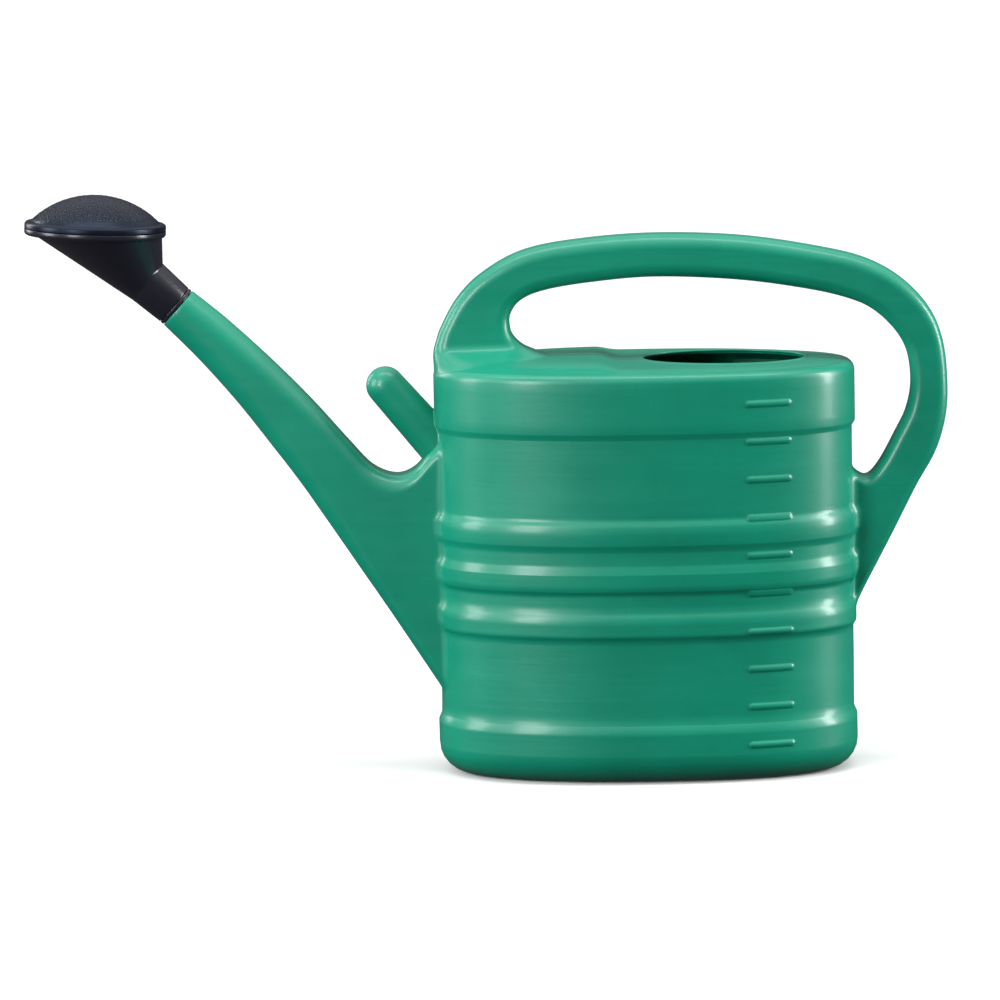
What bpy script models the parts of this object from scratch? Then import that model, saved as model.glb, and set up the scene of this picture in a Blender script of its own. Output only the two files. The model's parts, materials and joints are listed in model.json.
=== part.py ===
"""Ten-litre garden watering can with a push-on rose.

The can is one hollow blow moulding, made here as four solids that meet with a small gap: tank, spout,
handle and rose_holder_peg. The rose is a sleeve that slides on the spout's end, a funnel that turns on
the sleeve, and a domed face snapped into the funnel.

Metres, +Z up. The origin is the centre of the flat base. +X points to the handle, -X to the spout.
"""

import math

import bmesh
import bpy
import numpy as np
from mathutils import Matrix, Vector

MM = 0.001
GAP = 0.3 * MM
WALL = 2.2 * MM
MERGE = 0.01 * MM

# Tank: an oval of half-length by half-depth, its rear end blunter than its front.
TANK_HALF_LENGTH = 146.5
TANK_HALF_DEPTH = 83.0
TANK_HEIGHT = 286.5
TANK_FRONT_POWER = 2.25
TANK_REAR_POWER = 2.5
TANK_SHOULDER_RADIUS = 7.0
TANK_BASE_RADIUS = 20.0
TANK_STEPS = 36
SQUASH_DEPTH = 25.0

# Bands and ribs stand proud of the wall; each row is the top and the bottom of one of them.
BAND_RISE = 2.2
BAND_RAMP = 3.0
RIBS = ((184.0, 163.0), (152.0, 132.0), (120.0, 100.0))
UPPER_BAND_BOTTOM = 243.0
LOWER_BAND_TOP = 41.0

# Filler opening in the top.
FILLER_X = 56.0
FILLER_LENGTH = 112.0
FILLER_WIDTH = 83.0

# Tubes that bend in the XZ plane: each row is one section's outer edge x, z, its inner edge x, z,
# its half-width along Y, and how square it is (2 is an ellipse).
SPOUT_SECTIONS = (
    (-313.0, 339.6, -333.6, 316.8, 15.5, 2.0),
    (-288.7, 319.3, -309.0, 291.5, 16.4, 2.0),
    (-258.4, 290.6, -283.5, 262.0, 17.5, 2.1),
    (-231.0, 262.0, -261.5, 233.5, 18.5, 2.3),
    (-206.3, 233.5, -241.0, 206.0, 19.5, 2.6),
    (-190.0, 216.0, -222.0, 178.0, 20.2, 3.0),
    (-174.0, 209.4, -200.0, 145.0, 20.8, 3.6),
    (-161.0, 213.5, -179.0, 113.4, 21.2, 4.2),
    (-149.5, 226.0, -160.6, 85.0, 21.6, 4.6),
    (-139.0, 236.0, -141.0, 55.0, 22.0, 4.8),
    (-122.0, 240.0, -122.0, 30.0, 22.0, 4.8),
)
HANDLE_SECTIONS = (
    (-146.0, 252.0, -62.0, 252.0, 17.5, 3.6),
    (-146.2, 275.0, -68.0, 280.0, 17.5, 3.6),
    (-144.9, 296.0, -82.0, 297.0, 17.0, 3.6),
    (-140.5, 311.0, -92.0, 309.0, 16.5, 3.6),
    (-130.0, 330.7, -92.5, 320.0, 16.0, 3.6),
    (-113.0, 348.0, -85.3, 330.0, 16.0, 3.6),
    (-84.0, 364.0, -69.2, 336.7, 16.0, 3.4),
    (-44.1, 371.5, -38.0, 341.7, 16.0, 3.2),
    (9.7, 374.8, 8.0, 345.0, 16.0, 3.2),
    (70.0, 372.0, 66.0, 342.0, 16.0, 3.2),
    (125.0, 363.0, 116.0, 334.5, 16.0, 3.4),
    (157.3, 354.0, 145.0, 327.0, 16.0, 3.6),
    (182.0, 339.0, 161.0, 318.8, 16.0, 3.6),
    (200.0, 318.2, 175.4, 304.5, 16.0, 3.6),
    (208.5, 295.0, 183.5, 289.0, 16.0, 3.6),
    (211.0, 265.0, 186.0, 268.0, 16.0, 3.6),
    (209.0, 242.0, 182.5, 249.0, 16.0, 3.6),
    (201.9, 219.6, 174.5, 232.5, 16.0, 3.6),
    (188.5, 196.0, 163.5, 212.5, 16.0, 3.6),
    (171.0, 162.0, 154.5, 203.2, 16.5, 3.6),
    (153.5, 129.0, 145.5, 207.0, 17.0, 3.6),
    (137.0, 98.0, 134.0, 213.0, 17.5, 3.6),
    (118.0, 80.0, 118.0, 217.0, 17.5, 3.6),
)
TUBE_SIDES = 16
SPOUT_STEPS = 2
HANDLE_STEPS = 1

# Parking peg for the rose, beside the spout's root.
PEG_TIP = (-180.2, 271.4)
PEG_ANGLE = 49.6
PEG_TIP_RADIUS = 13.4
PEG_ROOT_RADIUS = 15.5
PEG_LENGTH = 84.0
PEG_STEPS = 24

# Spout mouth, and the rose's axis that leaves it up and forward.
MOUTH = (-323.4, 328.1)
MOUTH_ANGLE = 42.0
SPIGOT_RADIUS = 11.5
SPIGOT_BORE_RADIUS = 9.3
SPIGOT_LENGTH = 22.0
ROSE_STEPS = 32

# Sleeve: a thin tube round the spigot, with a lip at the mouth.
SLEEVE_BORE_RADIUS = 11.8
SLEEVE_TUBE_RADIUS = 13.2
SLEEVE_LIP_RADIUS = 15.2
SLEEVE_LIP_HEIGHT = 3.0
SLEEVE_LENGTH = 24.0
MOUTH_GAP = 0.4

# Funnel: a collar over the sleeve, then a slanted funnel up to the rim.
COLLAR_RADIUS = 15.2
COLLAR_TOP_RADIUS = 16.5
COLLAR_LENGTH = 28.0
COLLAR_BORE_RADIUS = 13.5
COLLAR_STOP_RADIUS = 11.5
FUNNEL_WALL = 1.8
FUNNEL_TOP_X = -377.5
FUNNEL_TOP_HALF_LENGTH = 44.5
FUNNEL_TOP_HALF_WIDTH = 45.5
RIM_CENTRE = (-379.6, 384.0)
RIM_TILT = 2.6
RIM_RADIUS = 49.2
RIM_HEIGHT = 4.6
RIM_ROUND = 0.7
SKIRT_BORE_RADIUS = 44.8

# Face: a shallow dome with a rim bead and a skirt inside the funnel.
DOME_RADIUS = 58.5
DOME_HEIGHT = 25.5
DOME_EDGE_RADIUS = 43.5
DOME_WALL = 1.8
SKIRT_RADIUS = 44.4
SKIRT_WALL = 1.6
SKIRT_DEPTH = 4.0
RIM_GAP = 0.2

GREEN = (0.006, 0.262, 0.165, 1.0)
BLACK = (0.012, 0.013, 0.018, 1.0)


def clear_scene():
    for item in list(bpy.data.objects):
        bpy.data.objects.remove(item)


def new_collection(name):
    group = bpy.data.collections.new(name)
    bpy.context.scene.collection.children.link(group)
    return group


def plastic(name, colour, roughness):
    material = bpy.data.materials.new(name)
    material.use_nodes = True
    shader = material.node_tree.nodes["Principled BSDF"]
    shader.inputs["Base Color"].default_value = colour
    shader.inputs["Roughness"].default_value = roughness
    shader.inputs["Metallic"].default_value = 0.0
    return material


def place(name, mesh, collection, material=None):
    """Put a mesh in the scene as one named object, smooth except at its real edges."""
    item = bpy.data.objects.new(name, mesh)
    collection.objects.link(item)
    if material:
        mesh.materials.append(material)
    mesh.shade_smooth()
    mesh.set_sharp_from_angle(angle=math.radians(35.0))
    return item


def as_cutter(item):
    item.hide_render = True
    item.display_type = "WIRE"
    return item


def boolean(target, tool, operation="DIFFERENCE"):
    step = target.modifiers.new(operation.lower() + "_" + tool.name, "BOOLEAN")
    step.object = tool
    step.operation = operation
    step.solver = "EXACT"


def arc(centre_x, centre_z, radius, start, stop, steps):
    """Points of an arc in the XZ plane, its angles in degrees from +X."""
    angles = np.radians(np.linspace(start, stop, steps + 1))
    return [(centre_x + radius * math.cos(a), centre_z + radius * math.sin(a)) for a in angles]


def offset_path(path, distance):
    """Move a path that runs down its outer side outwards by a distance, keeping its corners mitred."""
    points = np.array(path)
    legs = np.diff(points, axis=0)
    legs /= np.linalg.norm(legs, axis=1)[:, None]
    normals = np.column_stack([-legs[:, 1], legs[:, 0]])
    before = np.vstack([normals[:1], normals])
    after = np.vstack([normals, normals[-1:]])
    corner = before + after
    corner /= (1.0 + (before * after).sum(axis=1))[:, None]
    moved = points + corner * distance
    moved[points[:, 0] == 0.0, 0] = 0.0
    return moved.tolist()


def turned(name, path, steps, closed=False):
    """Turn an XZ path, given in millimetres, about Z into a mesh."""
    count = len(path)
    edges = [(i, i + 1) for i in range(count - 1)]
    if closed:
        edges.append((count - 1, 0))
    profile = bpy.data.meshes.new(name + "_profile")
    profile.from_pydata([(x * MM, 0.0, z * MM) for x, z in path], edges, [])
    blank = bpy.data.objects.new(name + "_blank", profile)
    bpy.context.scene.collection.objects.link(blank)
    screw = blank.modifiers.new("turn", "SCREW")
    screw.steps = steps
    screw.render_steps = steps
    screw.use_merge_vertices = True
    screw.merge_threshold = MERGE
    depsgraph = bpy.context.evaluated_depsgraph_get()
    mesh = bpy.data.meshes.new_from_object(blank.evaluated_get(depsgraph))
    mesh.name = name
    bpy.data.objects.remove(blank)
    return mesh


def tank_path():
    """Half outline of the tank, from the centre of its top down to the centre of its base."""
    full = TANK_HALF_LENGTH
    wall = full - BAND_RISE
    shoulder = TANK_SHOULDER_RADIUS
    path = [(0.0, TANK_HEIGHT), (full - 3.0 * shoulder, TANK_HEIGHT)]
    path += arc(full - shoulder, TANK_HEIGHT - shoulder, shoulder, 90.0, 0.0, 4)
    path += [(full, UPPER_BAND_BOTTOM), (wall, UPPER_BAND_BOTTOM - BAND_RAMP)]
    for top, bottom in RIBS:
        path += [(wall, top), (full, top - BAND_RAMP), (full, bottom + BAND_RAMP), (wall, bottom)]
    path += [(wall, LOWER_BAND_TOP), (full, LOWER_BAND_TOP - BAND_RAMP)]
    path += arc(full - TANK_BASE_RADIUS, TANK_BASE_RADIUS, TANK_BASE_RADIUS, 0.0, -90.0, 5)
    path.append((0.0, 0.0))
    return path


def press_oval(mesh):
    """Press a round turning into the tank's oval.

    The half-depth is the radius less a fixed amount near the wall, so that the shoulder stays the same
    width all round. Each end is a superellipse of its own power.
    """
    co = np.empty(len(mesh.vertices) * 3)
    mesh.vertices.foreach_get("co", co)
    co = co.reshape(-1, 3)
    radius = np.hypot(co[:, 0], co[:, 1]) / MM
    turn = np.arctan2(co[:, 1], co[:, 0])
    rounds = [0.0, TANK_HALF_LENGTH - SQUASH_DEPTH, TANK_HALF_LENGTH + SQUASH_DEPTH]
    depths = [0.0, TANK_HALF_DEPTH - SQUASH_DEPTH, TANK_HALF_DEPTH + SQUASH_DEPTH]
    depth = np.interp(radius, rounds, depths)
    power = np.where(np.cos(turn) < 0.0, TANK_FRONT_POWER, TANK_REAR_POWER)
    cosine = np.cos(turn)
    sine = np.sin(turn)
    co[:, 0] = np.sign(cosine) * np.abs(cosine) ** (2.0 / power) * radius * MM
    co[:, 1] = np.sign(sine) * np.abs(sine) ** (2.0 / power) * depth * MM
    mesh.vertices.foreach_set("co", co.ravel())
    mesh.update()
    return mesh


def tank_solid(name, grow):
    return press_oval(turned(name, offset_path(tank_path(), grow / MM), TANK_STEPS))


def smooth_rows(rows, steps):
    """Put extra rows on a Catmull-Rom curve between the given ones."""
    table = np.array(rows)
    padded = np.vstack([2 * table[0] - table[1], table, 2 * table[-1] - table[-2]])
    out = []
    for i in range(1, len(table)):
        a, b, c, d = padded[i - 1 : i + 3]
        for t in np.arange(steps) / steps:
            out.append(
                b + 0.5 * t * (c - a + t * (2 * a - 5 * b + 4 * c - d + t * (3 * (b - c) + d - a)))
            )
    out.append(table[-1])
    return out


def tube_rings(sections, steps, grow):
    """One superellipse ring for each section and each step between, grown or shrunk all round."""
    angles = np.linspace(0.0, 2.0 * math.pi, TUBE_SIDES, endpoint=False) + math.pi / TUBE_SIDES
    rings = []
    for outer_x, outer_z, inner_x, inner_z, half_width, power in smooth_rows(sections, steps):
        middle = np.array([(outer_x + inner_x) / 2.0, 0.0, (outer_z + inner_z) / 2.0])
        across = np.array([outer_x - inner_x, 0.0, outer_z - inner_z]) / 2.0
        half_height = np.linalg.norm(across)
        across *= (half_height + grow / MM) / half_height
        width = half_width + grow / MM
        cosine = np.cos(angles)
        sine = np.sin(angles)
        high = np.sign(cosine) * np.abs(cosine) ** (2.0 / power)
        side = np.sign(sine) * np.abs(sine) ** (2.0 / power)
        ring = middle + high[:, None] * across + side[:, None] * np.array([0.0, width, 0.0])
        rings.append(ring * MM)
    return rings


def loft(name, rings):
    """Join closed rings of equal count with quads, and close each end with a flat cap."""
    count = len(rings[0])
    faces = []
    for level in range(len(rings) - 1):
        for i in range(count):
            j = (i + 1) % count
            low = level * count
            faces.append((low + i, low + j, low + count + j, low + count + i))
    faces.append(tuple(range(count)))
    faces.append(tuple(range((len(rings) - 1) * count, len(rings) * count)))
    mesh = bpy.data.meshes.new(name)
    mesh.from_pydata(np.vstack(rings).tolist(), [], faces)
    work = bmesh.new()
    work.from_mesh(mesh)
    bmesh.ops.recalc_face_normals(work, faces=work.faces)
    work.to_mesh(mesh)
    work.free()
    return mesh


def point_xz(x, z):
    return Vector((x * MM, 0.0, z * MM))


def mouth_frame():
    """Local +Z leaves the spout's mouth along the rose's axis, local X points up and back."""
    return Matrix.Translation(point_xz(*MOUTH)) @ Matrix.Rotation(math.radians(MOUTH_ANGLE - 90.0), 4, "Y")


def rim_frame():
    """Local +Z is the rim's normal, which leans a little to +X."""
    return Matrix.Translation(point_xz(*RIM_CENTRE)) @ Matrix.Rotation(math.radians(RIM_TILT), 4, "Y")


def cylinder(name, radius, low, high, frame, collection, sides):
    """A cylinder along a frame's Z from one height to another, in millimetres."""
    bpy.ops.mesh.primitive_cylinder_add(vertices=sides, radius=radius * MM, depth=(high - low) * MM)
    item = bpy.context.active_object
    item.name = name
    item.matrix_world = frame @ Matrix.Translation((0.0, 0.0, (low + high) / 2.0 * MM))
    for group in list(item.users_collection):
        group.objects.unlink(item)
    collection.objects.link(item)
    return item


def ring_points(frame, radius_x, radius_y, height, shift_x=0.0):
    """An ellipse across a frame's Z, as points in the world."""
    points = []
    for angle in np.linspace(0.0, 2.0 * math.pi, ROSE_STEPS, endpoint=False):
        x = shift_x + radius_x * math.cos(angle)
        y = radius_y * math.sin(angle)
        points.append(frame @ Vector((x * MM, y * MM, height * MM)))
    return np.array(points)


def build_tank(parts, cutters, green):
    tank = place("tank", tank_solid("tank", 0.0), parts, green)
    boolean(tank, as_cutter(place("tank_cavity", tank_solid("tank_cavity", -WALL), cutters)))
    high = TANK_HEIGHT + 10.0
    low = TANK_HEIGHT - 10.0
    filler = cylinder("filler_opening", 1.0, low, high, Matrix.Identity(4), cutters, TANK_STEPS)
    stretch = Matrix.Diagonal((FILLER_LENGTH / 2.0, FILLER_WIDTH / 2.0, 1.0, 1.0))
    filler.data.transform(stretch)
    filler.location.x = FILLER_X * MM
    boolean(tank, as_cutter(filler))
    return tank


def build_spout(parts, cutters, green, tank, envelope):
    outside = loft("spout", tube_rings(SPOUT_SECTIONS, SPOUT_STEPS, 0.0))
    spout = place("spout", outside, parts, green)
    frame = mouth_frame()
    spigot = cylinder("spigot", SPIGOT_RADIUS, -6.0, SPIGOT_LENGTH, frame, cutters, ROSE_STEPS)
    boolean(spout, as_cutter(spigot), "UNION")
    boolean(spout, envelope)
    skin = loft("spout_bore", tube_rings(SPOUT_SECTIONS, SPOUT_STEPS, -WALL))
    bore = as_cutter(place("spout_bore", skin, cutters))
    bore.location = frame.to_3x3() @ Vector((0.0, 0.0, -WALL))
    boolean(spout, bore)
    boolean(tank, bore)
    high = SPIGOT_LENGTH + 5.0
    through = cylinder("spigot_bore", SPIGOT_BORE_RADIUS, -10.0, high, frame, cutters, ROSE_STEPS)
    boolean(spout, as_cutter(through))


def build_handle(parts, cutters, green, tank, envelope):
    outside = loft("handle", tube_rings(HANDLE_SECTIONS, HANDLE_STEPS, 0.0))
    handle = place("handle", outside, parts, green)
    boolean(handle, envelope)
    skin = loft("handle_bore", tube_rings(HANDLE_SECTIONS, HANDLE_STEPS, -WALL))
    bore = as_cutter(place("handle_bore", skin, cutters))
    boolean(handle, bore)
    boolean(tank, bore)


def peg_path(grow):
    """Round tip, then a slight taper down to the root, which ends inside the tank's wall line."""
    tip = arc(0.0, 0.0, PEG_TIP_RADIUS + grow / MM, 90.0, 0.0, 4)
    tip[0] = (0.0, tip[0][1])
    return tip + [(PEG_ROOT_RADIUS + grow / MM, -PEG_LENGTH), (0.0, -PEG_LENGTH)]


def build_peg(parts, cutters, green, tank, envelope):
    """Hollow peg that opens into the tank; its root is cut back from the spout's top edge."""
    frame = Matrix.Translation(point_xz(*PEG_TIP)) @ Matrix.Rotation(math.radians(PEG_ANGLE - 90.0), 4, "Y")
    peg = place("rose_holder_peg", turned("rose_holder_peg", peg_path(0.0), PEG_STEPS), parts, green)
    peg.matrix_world = frame
    boolean(peg, envelope)
    bore = as_cutter(place("peg_bore", turned("peg_bore", peg_path(-WALL), PEG_STEPS), cutters))
    bore.matrix_world = frame
    boolean(peg, bore)
    boolean(tank, bore)
    skin = loft("spout_envelope", tube_rings(SPOUT_SECTIONS, SPOUT_STEPS, GAP))
    boolean(peg, as_cutter(place("spout_envelope", skin, cutters)))


def build_sleeve(parts, black):
    path = [
        (SLEEVE_TUBE_RADIUS, SLEEVE_LENGTH),
        (SLEEVE_TUBE_RADIUS, SLEEVE_LIP_HEIGHT),
        (SLEEVE_LIP_RADIUS, SLEEVE_LIP_HEIGHT),
        (SLEEVE_LIP_RADIUS, MOUTH_GAP),
        (SLEEVE_BORE_RADIUS, MOUTH_GAP),
        (SLEEVE_BORE_RADIUS, SLEEVE_LENGTH),
    ]
    sleeve = place("rose_sleeve", turned("rose_sleeve", path, ROSE_STEPS, closed=True), parts, black)
    sleeve.matrix_world = mouth_frame()


def build_funnel(parts, cutters, black):
    """Collar and funnel as one loft from the round collar to the rim, less the same shape inside."""
    mouth = mouth_frame()
    rim = rim_frame()
    start = SLEEVE_LIP_HEIGHT + GAP / MM
    shift = FUNNEL_TOP_X - RIM_CENTRE[0]
    top = -RIM_GAP
    outside = [
        ring_points(mouth, COLLAR_RADIUS, COLLAR_RADIUS, start),
        ring_points(mouth, COLLAR_TOP_RADIUS, COLLAR_TOP_RADIUS, COLLAR_LENGTH),
        ring_points(rim, FUNNEL_TOP_HALF_LENGTH, FUNNEL_TOP_HALF_WIDTH, -RIM_HEIGHT, shift),
        ring_points(rim, RIM_RADIUS - RIM_ROUND, RIM_RADIUS - RIM_ROUND, -RIM_HEIGHT + 0.2),
        ring_points(rim, RIM_RADIUS, RIM_RADIUS, -RIM_HEIGHT + 0.2 + RIM_ROUND),
        ring_points(rim, RIM_RADIUS, RIM_RADIUS, top - RIM_ROUND),
        ring_points(rim, RIM_RADIUS - RIM_ROUND, RIM_RADIUS - RIM_ROUND, top),
    ]
    stop_height = SLEEVE_LENGTH + 0.8
    inner_length = FUNNEL_TOP_HALF_LENGTH - FUNNEL_WALL
    inner_width = FUNNEL_TOP_HALF_WIDTH - FUNNEL_WALL
    inside = [
        ring_points(mouth, COLLAR_BORE_RADIUS, COLLAR_BORE_RADIUS, start - 5.0),
        ring_points(mouth, COLLAR_BORE_RADIUS, COLLAR_BORE_RADIUS, stop_height),
        ring_points(mouth, COLLAR_STOP_RADIUS, COLLAR_STOP_RADIUS, stop_height + 0.2),
        ring_points(mouth, COLLAR_STOP_RADIUS, COLLAR_STOP_RADIUS, COLLAR_LENGTH),
        ring_points(mouth, COLLAR_TOP_RADIUS - 2.2, COLLAR_TOP_RADIUS - 2.2, COLLAR_LENGTH + 2.5),
        ring_points(rim, inner_length, inner_width, -RIM_HEIGHT, shift),
        ring_points(rim, SKIRT_BORE_RADIUS, SKIRT_BORE_RADIUS, -RIM_HEIGHT + 0.2),
        ring_points(rim, SKIRT_BORE_RADIUS, SKIRT_BORE_RADIUS, 5.0),
    ]
    mesh = loft("rose_funnel", outside)
    mesh.transform(mouth.inverted())
    funnel = place("rose_funnel", mesh, parts, black)
    funnel.matrix_world = mouth
    boolean(funnel, as_cutter(place("rose_inside", loft("rose_inside", inside), cutters)))


def build_face(parts, black):
    """Dome, rim bead and skirt turned in one piece."""
    centre = DOME_HEIGHT - DOME_RADIUS
    edge = math.degrees(math.acos(DOME_EDGE_RADIUS / DOME_RADIUS))
    inner_radius = DOME_RADIUS - DOME_WALL
    skirt_inner = SKIRT_RADIUS - SKIRT_WALL
    inner_edge = math.degrees(math.acos(skirt_inner / inner_radius))
    outside = arc(0.0, centre, DOME_RADIUS, 90.0, edge, 7)
    inside = arc(0.0, centre, inner_radius, inner_edge, 90.0, 5)
    outside[0] = (0.0, outside[0][1])
    inside[-1] = (0.0, inside[-1][1])
    bead = [
        (DOME_EDGE_RADIUS + 1.0, RIM_HEIGHT + 0.4),
        (RIM_RADIUS - RIM_ROUND, RIM_HEIGHT),
        (RIM_RADIUS, RIM_HEIGHT - RIM_ROUND),
        (RIM_RADIUS, RIM_GAP + RIM_ROUND),
        (RIM_RADIUS - RIM_ROUND, RIM_GAP),
        (SKIRT_RADIUS, RIM_GAP),
        (SKIRT_RADIUS, -SKIRT_DEPTH),
        (skirt_inner, -SKIRT_DEPTH),
    ]
    face = place("rose_face", turned("rose_face", outside + bead + inside, ROSE_STEPS), parts, black)
    face.matrix_world = rim_frame()


def main():
    clear_scene()
    parts = new_collection("watering_can")
    cutters = new_collection("cutters")
    green = plastic("green_plastic", GREEN, 0.42)
    black = plastic("black_plastic", BLACK, 0.35)
    tank = build_tank(parts, cutters, green)
    envelope = as_cutter(place("tank_envelope", tank_solid("tank_envelope", GAP), cutters))
    build_spout(parts, cutters, green, tank, envelope)
    build_handle(parts, cutters, green, tank, envelope)
    build_peg(parts, cutters, green, tank, envelope)
    build_sleeve(parts, black)
    build_funnel(parts, cutters, black)
    build_face(parts, black)


main()
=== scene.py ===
"""Looks of a ten-litre garden watering can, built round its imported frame.

The green can is one hollow moulding: a banded tank, an upswept spout, a handle bow and a parking peg.
The black rose has a sleeve on the spout's end, a slanted funnel that turns on it and a domed face.
Shapes are worked out in millimetres as grids of points, rows by columns, and go into the scene in metres.
"""

import json
import math

import bpy
import numpy as np
from bpy.props import FloatProperty, FloatVectorProperty, PointerProperty
from mathutils import Matrix, Vector


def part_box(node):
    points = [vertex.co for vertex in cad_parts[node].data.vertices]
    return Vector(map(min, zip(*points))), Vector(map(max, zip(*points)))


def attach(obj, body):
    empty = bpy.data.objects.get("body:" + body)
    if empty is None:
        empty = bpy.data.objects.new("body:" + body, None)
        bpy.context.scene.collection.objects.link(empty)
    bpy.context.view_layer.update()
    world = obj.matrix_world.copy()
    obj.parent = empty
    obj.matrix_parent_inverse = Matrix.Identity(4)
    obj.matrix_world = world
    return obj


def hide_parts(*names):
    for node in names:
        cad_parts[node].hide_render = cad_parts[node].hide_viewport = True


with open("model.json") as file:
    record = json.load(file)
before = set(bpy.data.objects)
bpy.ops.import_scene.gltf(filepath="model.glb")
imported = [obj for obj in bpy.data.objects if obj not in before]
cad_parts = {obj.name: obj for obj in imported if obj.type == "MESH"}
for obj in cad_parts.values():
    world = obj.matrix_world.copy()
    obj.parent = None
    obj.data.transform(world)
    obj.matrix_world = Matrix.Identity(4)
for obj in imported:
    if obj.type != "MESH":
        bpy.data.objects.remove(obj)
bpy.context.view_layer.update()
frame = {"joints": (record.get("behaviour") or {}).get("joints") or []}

bl_info = {
    "name": "Watering Can",
    "version": (1, 0, 0),
    "blender": (4, 5, 0),
    "location": "3D View > Sidebar > Watering Can",
    "description": "Builds a garden watering can, its rose and a small studio round the packed frame",
    "category": "Object",
}

MM = 0.001
SHARP_ANGLE = 50.0

# Tank: the frame gives its outline, the rest is the maker's drawing. Its plan is rounder at the front than
# at the rear, and its top is a pillow that steps up in front of the filler, between the two x of FRONT_STEP.
TANK_LOW, TANK_HIGH = (np.array(corner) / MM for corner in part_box("tank"))
HALF_LENGTH = (TANK_HIGH[0] - TANK_LOW[0]) / 2.0
HALF_DEPTH = (TANK_HIGH[1] - TANK_LOW[1]) / 2.0
RIM_DROP = 1.5
RIM_LEVEL = TANK_HIGH[2] - RIM_DROP
FRONT_POWER = 2.25
REAR_POWER = 2.5
WALL = 2.2
SHOULDER = 6.5
SIDE_TOP = RIM_LEVEL - SHOULDER
FOOT = 20.0
CROWN = 2.5
FRONT_RISE = 4.0
FRONT_STEP = (-34.0, -15.0)
FILLER_X = 56.0
FILLER_HALF = (56.0, 43.8)
FILLER_EDGE = 0.8
FILLER_DROP = 1.3
FILLER_RAISE = 0.6
PUSH_UP = 2.5
PUSH_UP_EDGE = (0.70, 0.79)
SEAM_WIDTH = 0.6
WAVE_SPAN = (45.0, 240.0)
ROW_SPACING = 7.0

# Bands and ribs stand proud of the wall. Each rib starts and ends at the two heights of its span, and the
# roundings are those of a step's lower and upper ends.
RIB_SPANS = ((100.0, 120.0), (132.0, 152.0), (163.0, 184.0))
LOWER_BAND_TOP = 41.5
UPPER_BAND_FOOT = 240.0
STEP_UP = 4.8
STEP_DOWN = 3.2
STEP_UP_ROUNDS = (1.6, 1.1)
RIB_FOOT_ROUNDS = (0.8, 1.2)
UPPER_BAND_ROUNDS = (1.0, 1.4)

# Litre marks: rounded bars on one side, a litre apart.
MARK_COUNT = 10
MARK_PITCH = 26.3
MARK_X = 83.5
MARK_HALF_LENGTH = 16.0
MARK_HALF_HEIGHT = 2.5

# Spacing of the tank's columns along its outline: plain wall, litre marks, step in the top, mould seam.
COLUMN_SPACING = 3.6
MARK_SPACING = 1.0
STEP_SPACING = 1.6
SEAM_SPACING = 0.35

# Tubes that bend in the XZ plane. Each row is one section: its outer edge x, z, its inner edge x, z,
# its half-width along Y and the radius of its corners.
SPOUT_SECTIONS = (
    (-313.0, 339.6, -333.6, 316.8, 15.5, 14.9),
    (-288.7, 319.3, -309.0, 291.5, 16.4, 15.4),
    (-258.4, 290.6, -283.5, 262.0, 17.5, 15.2),
    (-231.0, 262.0, -261.5, 233.5, 18.5, 14.0),
    (-206.3, 233.5, -241.0, 206.0, 19.5, 13.2),
    (-190.0, 216.0, -222.0, 178.0, 20.2, 12.6),
    (-174.0, 209.4, -200.0, 145.0, 20.8, 12.0),
    (-161.0, 213.5, -179.0, 113.4, 21.2, 11.6),
    (-149.5, 226.0, -160.6, 85.0, 21.6, 11.2),
    (-139.0, 236.0, -141.0, 55.0, 22.0, 11.0),
    (-122.0, 240.0, -122.0, 30.0, 22.0, 11.0),
)
HANDLE_SECTIONS = (
    (-140.0, 256.0, -56.0, 262.0, 46.0, 38.0),
    (-144.6, 275.0, -58.0, 278.0, 45.0, 39.0),
    (-146.1, 284.5, -62.0, 286.0, 40.0, 35.0),
    (-146.4, 289.5, -68.0, 290.8, 32.0, 27.0),
    (-146.2, 293.5, -76.0, 294.6, 23.5, 17.5),
    (-145.7, 297.0, -83.5, 298.0, 17.6, 10.0),
    (-143.6, 304.0, -89.6, 303.5, 16.8, 9.0),
    (-140.8, 311.5, -92.6, 310.0, 16.5, 8.8),
    (-130.0, 330.7, -92.5, 320.0, 16.0, 8.6),
    (-113.0, 348.0, -85.3, 330.0, 16.0, 8.8),
    (-84.0, 364.0, -69.2, 336.7, 16.0, 9.2),
    (-44.1, 371.5, -38.0, 341.7, 16.0, 9.4),
    (9.7, 374.8, 8.0, 345.0, 16.0, 9.4),
    (70.0, 372.0, 66.0, 342.0, 16.0, 9.4),
    (125.0, 363.0, 116.0, 334.5, 16.0, 9.0),
    (157.3, 354.0, 145.0, 327.0, 16.0, 8.4),
    (182.0, 339.0, 161.0, 318.8, 16.0, 8.0),
    (200.0, 318.2, 175.4, 304.5, 16.0, 7.6),
    (208.5, 295.0, 183.5, 289.0, 16.0, 7.6),
    (211.0, 265.0, 186.0, 268.0, 16.0, 7.6),
    (209.0, 242.0, 182.5, 249.0, 16.0, 7.6),
    (201.9, 219.6, 174.5, 232.5, 16.0, 7.4),
    (188.5, 196.0, 163.5, 212.5, 16.0, 7.2),
    (171.0, 162.0, 154.5, 203.2, 16.5, 7.0),
    (153.5, 129.0, 145.5, 207.0, 17.0, 7.0),
    (137.0, 98.0, 134.0, 213.0, 17.5, 7.0),
    (118.0, 80.0, 118.0, 217.0, 17.5, 7.0),
)
HANDLE_MIDDLE = 13  # the section at the top of the bow, where its front and rear halves part
SEAM_FLAT = 5.0
SPOUT_FILLET = 6.5
HANDLE_FOOT_FILLET = (9.0, 4.5)
HANDLE_ROOT_FILLET = (6.5, 6.5)
FILLET_STEP = 3.0

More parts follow.
